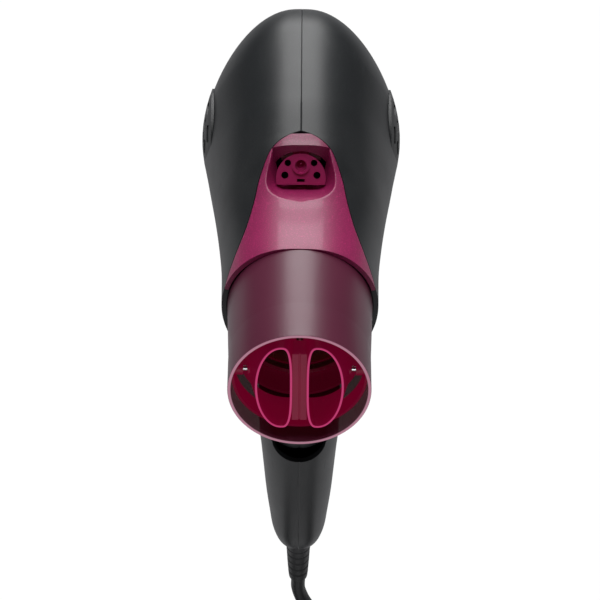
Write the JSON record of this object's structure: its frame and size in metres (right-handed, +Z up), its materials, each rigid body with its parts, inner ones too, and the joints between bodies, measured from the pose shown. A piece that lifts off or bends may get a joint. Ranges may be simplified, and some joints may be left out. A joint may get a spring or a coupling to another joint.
{
  "type": "hair dryer",
  "caption": "Handheld hair dryer with a folding handle, a swinging inner nozzle in a clear shell, an ion outlet under a hood, side air intakes and a mains lead.",
  "frame": {"origin": "middle of the hand grip, on the handle's centre line", "axes": "-Y is the way the air leaves, +Z is up with the handle unfolded and hanging below the barrel, +X is the dryer's left-to-right as seen from the nozzle"},
  "size_m": [0.129, 0.2354, 0.3459],
  "materials": {
    "housing_plastic": "satin black moulded plastic, fine pearl",
    "cover_plastic": "matt black moulded plastic",
    "panel_plastic": "clear-coated magenta over a dark pearl",
    "inner_plastic": "polished magenta plastic",
    "bezel_plastic": "polished dark magenta plastic",
    "smoke_plastic": "clear smoky magenta plastic",
    "grille_metal": "stamped plate",
    "filter_mesh": "woven nylon dust filter",
    "duct_plastic": "heat-resistant natural plastic",
    "motor_steel": "plated can",
    "bearing_bronze": "sintered bronze",
    "copper_winding": "enamelled copper",
    "pin_steel": "polished steel",
    "pin_brass": "nickel-plated brass",
    "mica": "pressed mica sheet",
    "heater_wire": "resistance wire",
    "potting_resin": "potted case",
    "circuit_board": "glass-epoxy board",
    "wire_red": "insulated wire",
    "wire_blue": "insulated wire",
    "switch_plastic": "matt black plastic",
    "switch_body": "switch case",
    "button_plastic": "polished magenta plastic",
    "cord_rubber": "dull black jacket",
    "plug_rubber": "moulded plug",
    "tie_fabric": "woven tie"
  },
  "bodies": {
    "handle": {"handle_left": "housing_plastic", "handle_right": "housing_plastic", "handle_screws": "pin_steel", "hinge_washers": "pin_steel", "switch_bezel": "switch_plastic", "switch_block": "switch_body", "switch_board": "circuit_board", "button_contact": "switch_body", "handle_wires": "wire_blue", "strain_relief": "cord_rubber", "power_cord": "cord_rubber", "cord_coil": "cord_rubber", "cord_tail": "cord_rubber", "coil_tie": "tie_fabric", "plug_body": "plug_rubber", "plug_pins": "pin_brass"},
    "housing": {"housing_left": "housing_plastic", "housing_right": "housing_plastic", "top_panel": "panel_plastic", "ion_hood": "panel_plastic", "ion_bezel": "bezel_plastic", "ion_needle": "pin_steel", "ion_module": "potting_resin", "front_collar": "cover_plastic", "front_barrel": "panel_plastic", "nozzle_shell": "smoke_plastic", "pivot_carrier": "inner_plastic", "outlet_grille": "grille_metal", "intake_cover_left": "cover_plastic", "intake_cover_right": "cover_plastic", "intake_filter_left": "filter_mesh", "intake_filter_right": "filter_mesh", "fan_duct": "duct_plastic", "motor_can": "motor_steel", "motor_bearings": "bearing_bronze", "heater_sleeve": "mica", "heater_frame": "mica", "heater_coils": "heater_wire", "thermostat": "motor_steel", "thermal_fuse": "potting_resin", "control_board": "circuit_board", "body_wires": "wire_red", "hinge_pin": "pin_steel"},
    "fan": {"impeller": "cover_plastic", "motor_rotor": "copper_winding", "fan_shaft": "pin_steel"},
    "swing": {"swing_nozzle": "inner_plastic", "pivot_pins": "pin_steel"},
    "slide": {"power_slide": "switch_plastic"},
    "button": {"mode_button": "button_plastic"}
  },
  "joints": [
    {"name": "handle_fold", "type": "hinge", "parent": "handle", "child": "housing", "pos_m": [0, -0.01714, 0.05436], "axis": [1, 0, 0], "range_deg": [0, 105]},
    {"name": "fan_spin", "type": "hinge", "parent": "housing", "child": "fan", "pos_m": [0, 0.07986, 0.12236], "axis": [0, 1, 0], "continuous": true},
    {"name": "nozzle_swing", "type": "hinge", "parent": "housing", "child": "swing", "pos_m": [0, -0.06514, 0.12236], "axis": [1, 0, 0], "range_deg": [-8, 8]},
    {"name": "power_slide", "type": "slide", "parent": "handle", "child": "slide", "axis": [0, 0.2351, -0.972], "range_m": [0, 0.014]},
    {"name": "mode_press", "type": "slide", "parent": "handle", "child": "button", "axis": [0, -0.972, -0.2351], "range_m": [0, 0.0015], "stiffness_N_per_m": 800, "springref_m": -0.001}
  ]
}
